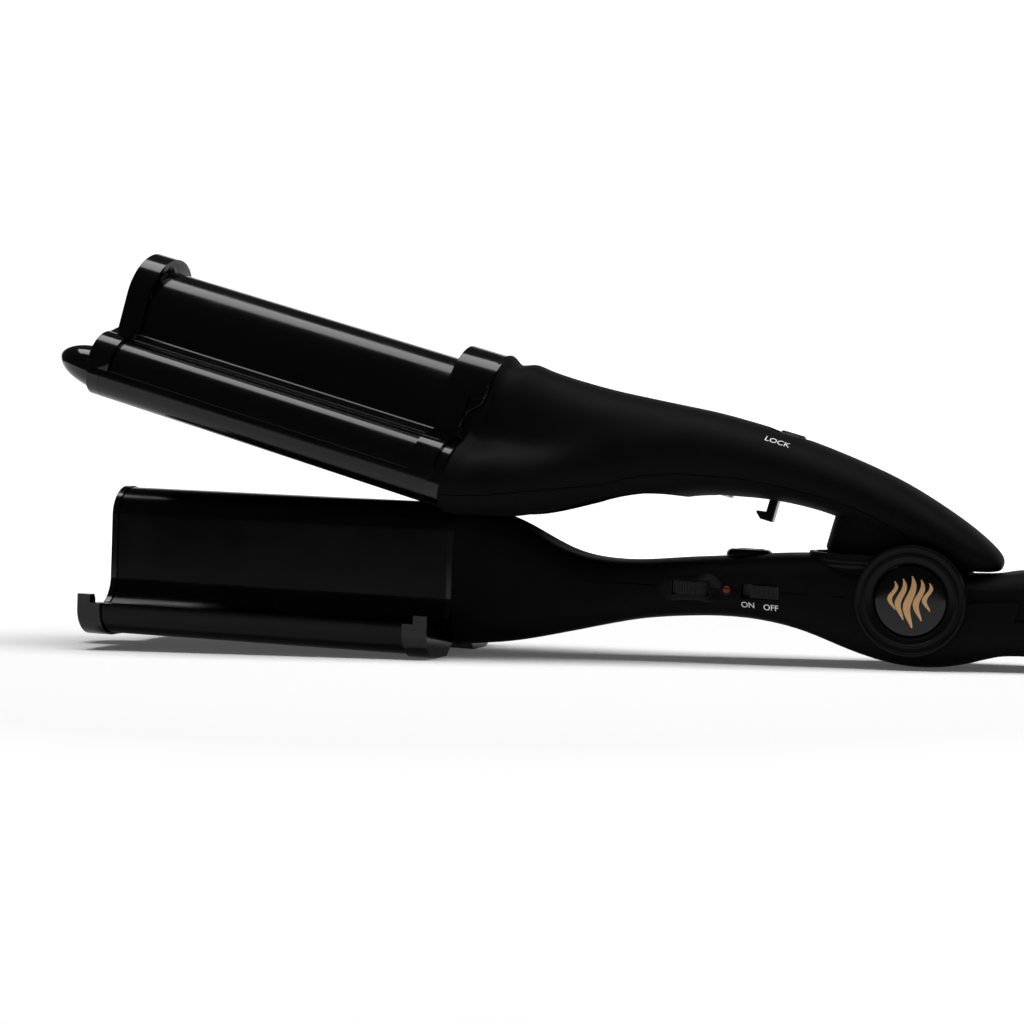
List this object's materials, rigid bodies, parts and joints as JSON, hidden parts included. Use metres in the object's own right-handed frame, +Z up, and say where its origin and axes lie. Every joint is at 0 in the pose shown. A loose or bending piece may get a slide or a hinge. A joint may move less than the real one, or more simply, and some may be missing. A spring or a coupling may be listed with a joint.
{
  "type": "hair waver",
  "caption": "Open hair waver with wave-shaped heated jaws, sprung hinge with round side bosses, temperature dial, slide switch, sliding lock hook and cord gland.",
  "frame": {"origin": "centre of the bounding box on the surface the waver lies on", "axes": "+X towards the cord end, +Y away from the side with the controls, +Z up"},
  "size_m": [0.3621, 0.0632, 0.1352],
  "materials": {
    "soft_black": "soft-touch coated black",
    "gloss_black": "polished black",
    "coated_plate": "satin black ceramic coating on aluminium",
    "heater": "fired ceramic in its holder",
    "steel": "plated steel",
    "board": "solder mask",
    "inner_plastic": "moulded",
    "lamp": "clear orange red lens",
    "control_black": "ribbed black",
    "gland_rubber": "matte black"
  },
  "bodies": {
    "lower_arm": {"lower_housing": "soft_black", "lower_top_cover": "soft_black", "tail_cover": "soft_black", "lower_heating_plate": "coated_plate", "lower_jaw_cover": "gloss_black", "lower_tip_cap": "gloss_black", "lower_rear_cap": "gloss_black", "lower_heater": "heater", "lower_thermostat": "heater", "lower_cool_tip": "gloss_black", "hinge_pin": "steel", "hinge_ring_near": "soft_black", "hinge_ring_far": "soft_black", "hinge_disc_near": "gloss_black", "hinge_disc_far": "gloss_black", "return_spring": "steel", "control_board": "board", "dial_potentiometer": "inner_plastic", "switch_body": "inner_plastic", "indicator_lens": "lamp", "lock_catch": "gloss_black", "lower_screw_1": "steel", "lower_screw_2": "steel", "lower_screw_3": "steel"},
    "upper_arm": {"upper_handle_shell": "soft_black", "upper_handle_cover": "soft_black", "upper_heating_plate": "coated_plate", "upper_jaw_cover": "gloss_black", "upper_tip_cap": "gloss_black", "upper_rear_cap": "gloss_black", "upper_heater_near": "heater", "upper_heater_far": "heater", "upper_thermostat": "heater", "upper_cool_tip": "gloss_black", "upper_screw_1": "steel", "upper_screw_2": "steel"},
    "lock": {"lock_knob": "control_black", "lock_hook": "control_black"},
    "switch": {"switch_knob": "control_black"},
    "dial": {"temperature_dial": "control_black"},
    "gland": {"cord_gland": "gland_rubber"}
  },
  "joints": [
    {"name": "jaw_hinge", "type": "hinge", "parent": "lower_arm", "child": "upper_arm", "pos_m": [0.11894, 0, 0.021], "axis": [0, -1, 0], "range_deg": [0, 14.5], "stiffness_Nm_per_rad": 1.5, "springref_deg": -57.3},
    {"name": "lock_slide", "type": "slide", "parent": "upper_arm", "child": "lock", "axis": [-0.9573, 0, 0.289], "range_m": [0, 0.0032]},
    {"name": "switch_slide", "type": "slide", "parent": "lower_arm", "child": "switch", "axis": [-0.9992, 0, 0.0401], "range_m": [0, 0.003]},
    {"name": "dial_turn", "type": "hinge", "parent": "lower_arm", "child": "dial", "pos_m": [0.05038, -0.0054, 0.02355], "axis": [0.0401, 0, 0.9992], "range_deg": [-135, 135]},
    {"name": "gland_swivel", "type": "hinge", "parent": "lower_arm", "child": "gland", "pos_m": [0.18078, 0, 0.01572], "axis": [0.9992, 0, -0.0401], "continuous": true}
  ]
}
